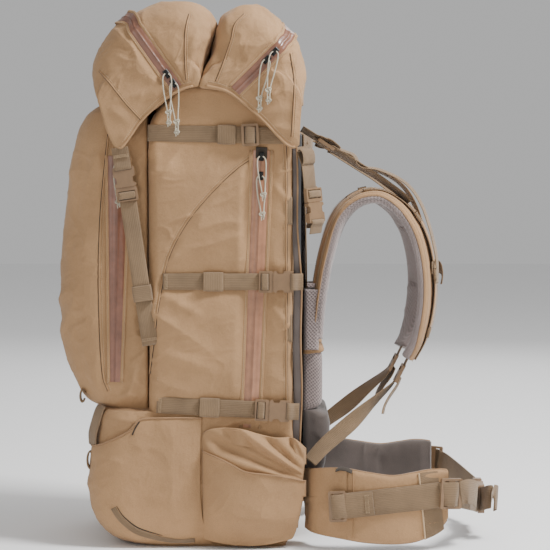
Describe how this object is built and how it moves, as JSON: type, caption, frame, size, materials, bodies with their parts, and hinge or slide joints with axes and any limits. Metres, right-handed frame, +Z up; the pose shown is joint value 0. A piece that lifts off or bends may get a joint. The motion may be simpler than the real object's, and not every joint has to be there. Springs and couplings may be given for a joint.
{
  "type": "hunting backpack",
  "caption": "Large hunting pack standing on its base: framed main bag, front, base and side pockets, two-part lid, padded harness and hip belt, with opening lid, buckles and zip sliders.",
  "frame": {"origin": "middle of the main bag's width, on the ground under the base", "axes": "+Z up along the pack, +Y towards the wearer's back and the harness, +X towards the wearer's right"},
  "size_m": [0.368, 0.6597, 0.8207],
  "materials": {
    "fabric_tan": "woven nylon, matte",
    "webbing_tan": "woven webbing",
    "zip_coated": "coated tape, glossy",
    "slider_black": "satin",
    "cord_beige": "braided cord",
    "buckle_tan": "moulded acetal, satin",
    "mesh_grey": "spacer mesh",
    "frame_black": "satin",
    "stay_metal": "satin"
  },
  "bodies": {
    "pack": {"main_bag": "fabric_tan", "front_pocket": "fabric_tan", "base_pocket": "fabric_tan", "bottle_pocket_right": "fabric_tan", "bottle_pocket_left": "fabric_tan", "side_zips": "zip_coated", "front_zips": "zip_coated", "compression_webbing": "webbing_tan", "strap_sockets": "buckle_tan", "lid_webbing": "webbing_tan", "frame_sheet": "frame_black", "frame_stays": "stay_metal", "back_pad": "mesh_grey", "lumbar_pad": "mesh_grey", "shoulder_strap_right": "fabric_tan", "shoulder_strap_left": "fabric_tan", "belt_wing_right": "fabric_tan", "belt_wing_left": "fabric_tan", "belt_webbing": "webbing_tan", "belt_socket": "buckle_tan", "harness_webbing": "webbing_tan", "ladder_locks": "buckle_tan", "haul_handle": "webbing_tan", "sternum_webbing": "webbing_tan", "sternum_socket": "buckle_tan"},
    "lid": {"lid_front_pocket": "fabric_tan", "lid_rear_pocket": "fabric_tan", "lid_front_zip": "zip_coated", "lid_rear_zip": "zip_coated", "lid_sockets": "buckle_tan"},
    "side_zip_upper_slider_right": {"side_zip_upper_slider_right": "slider_black", "side_zip_upper_pull_right": "cord_beige"},
    "side_zip_lower_slider_right": {"side_zip_lower_slider_right": "slider_black", "side_zip_lower_pull_right": "cord_beige"},
    "front_zip_slider_right": {"front_zip_slider_right": "slider_black", "front_zip_pull_right": "cord_beige"},
    "side_zip_upper_slider_left": {"side_zip_upper_slider_left": "slider_black", "side_zip_upper_pull_left": "cord_beige"},
    "side_zip_lower_slider_left": {"side_zip_lower_slider_left": "slider_black", "side_zip_lower_pull_left": "cord_beige"},
    "front_zip_slider_left": {"front_zip_slider_left": "slider_black", "front_zip_pull_left": "cord_beige"},
    "lid_front_upper_slider": {"lid_front_upper_slider": "slider_black", "lid_front_upper_pull": "cord_beige"},
    "lid_front_lower_slider": {"lid_front_lower_slider": "slider_black", "lid_front_lower_pull": "cord_beige"},
    "lid_rear_upper_slider": {"lid_rear_upper_slider": "slider_black", "lid_rear_upper_pull": "cord_beige"},
    "lid_rear_lower_slider": {"lid_rear_lower_slider": "slider_black", "lid_rear_lower_pull": "cord_beige"},
    "compression_upper_plug_right": {"compression_upper_plug_right": "buckle_tan"},
    "compression_lower_plug_right": {"compression_lower_plug_right": "buckle_tan"},
    "lid_strap_plug_right": {"lid_strap_plug_right": "buckle_tan"},
    "rear_strap_plug_right": {"rear_strap_plug_right": "buckle_tan"},
    "compression_upper_plug_left": {"compression_upper_plug_left": "buckle_tan"},
    "compression_lower_plug_left": {"compression_lower_plug_left": "buckle_tan"},
    "lid_strap_plug_left": {"lid_strap_plug_left": "buckle_tan"},
    "rear_strap_plug_left": {"rear_strap_plug_left": "buckle_tan"},
    "belt_plug": {"belt_plug": "buckle_tan"},
    "sternum_plug": {"sternum_plug": "buckle_tan"}
  },
  "joints": [
    {"name": "lid_hinge", "type": "hinge", "parent": "pack", "child": "lid", "pos_m": [0, 0.159, 0.594], "axis": [-1, 0, 0], "range_deg": [0, 75]},
    {"name": "side_zip_upper_slide_right", "type": "slide", "parent": "pack", "child": "side_zip_upper_slider_right", "axis": [0, -0.0414, -0.9991], "range_m": [0, 0.015]},
    {"name": "side_zip_lower_slide_right", "type": "slide", "parent": "pack", "child": "side_zip_lower_slider_right", "axis": [0, -0.0414, -0.9991], "range_m": [0, 0.065]},
    {"name": "front_zip_slide_right", "type": "slide", "parent": "pack", "child": "front_zip_slider_right", "axis": [0, -0.0176, -0.9998], "range_m": [0, 0.3]},
    {"name": "side_zip_upper_slide_left", "type": "slide", "parent": "pack", "child": "side_zip_upper_slider_left", "axis": [0, -0.0414, -0.9991], "range_m": [0, 0.015]},
    {"name": "side_zip_lower_slide_left", "type": "slide", "parent": "pack", "child": "side_zip_lower_slider_left", "axis": [0, -0.0414, -0.9991], "range_m": [0, 0.065]},
    {"name": "front_zip_slide_left", "type": "slide", "parent": "pack", "child": "front_zip_slider_left", "axis": [0, -0.0176, -0.9998], "range_m": [0, 0.3]},
    {"name": "lid_front_upper_slide", "type": "slide", "parent": "lid", "child": "lid_front_upper_slider", "axis": [0, 0.578, -0.816], "range_m": [-0.08, 0]},
    {"name": "lid_front_lower_slide", "type": "slide", "parent": "lid", "child": "lid_front_lower_slider", "axis": [0, 0.578, -0.816], "range_m": [-0.003, 0.002]},
    {"name": "lid_rear_upper_slide", "type": "slide", "parent": "lid", "child": "lid_rear_upper_slider", "axis": [0, -0.7117, -0.7025], "range_m": [-0.016, 0]},
    {"name": "lid_rear_lower_slide", "type": "slide", "parent": "lid", "child": "lid_rear_lower_slider", "axis": [0, -0.7117, -0.7025], "range_m": [0, 0.055]},
    {"name": "compression_upper_release_right", "type": "slide", "parent": "pack", "child": "compression_upper_plug_right", "axis": [0, -1, 0], "range_m": [0, 0.026]},
    {"name": "compression_lower_release_right", "type": "slide", "parent": "pack", "child": "compression_lower_plug_right", "axis": [0, -0.999, 0.045], "range_m": [0, 0.026]},
    {"name": "lid_strap_release_right", "type": "slide", "parent": "pack", "child": "lid_strap_plug_right", "axis": [0, 0.148, -0.989], "range_m": [0, 0.026]},
    {"name": "rear_strap_release_right", "type": "slide", "parent": "pack", "child": "rear_strap_plug_right", "axis": [0, -0.1, 0.995], "range_m": [0, 0.026]},
    {"name": "compression_upper_release_left", "type": "slide", "parent": "pack", "child": "compression_upper_plug_left", "axis": [0, -1, 0], "range_m": [0, 0.026]},
    {"name": "compression_lower_release_left", "type": "slide", "parent": "pack", "child": "compression_lower_plug_left", "axis": [0, -0.999, 0.045], "range_m": [0, 0.026]},
    {"name": "lid_strap_release_left", "type": "slide", "parent": "pack", "child": "lid_strap_plug_left", "axis": [0, 0.148, -0.989], "range_m": [0, 0.026]},
    {"name": "rear_strap_release_left", "type": "slide", "parent": "pack", "child": "rear_strap_plug_left", "axis": [0, -0.1, 0.995], "range_m": [0, 0.026]},
    {"name": "belt_release", "type": "slide", "parent": "pack", "child": "belt_plug", "axis": [1, 0, 0], "range_m": [0, 0.036]},
    {"name": "sternum_release", "type": "slide", "parent": "pack", "child": "sternum_plug", "axis": [1, 0, 0], "range_m": [0, 0.02]}
  ]
}
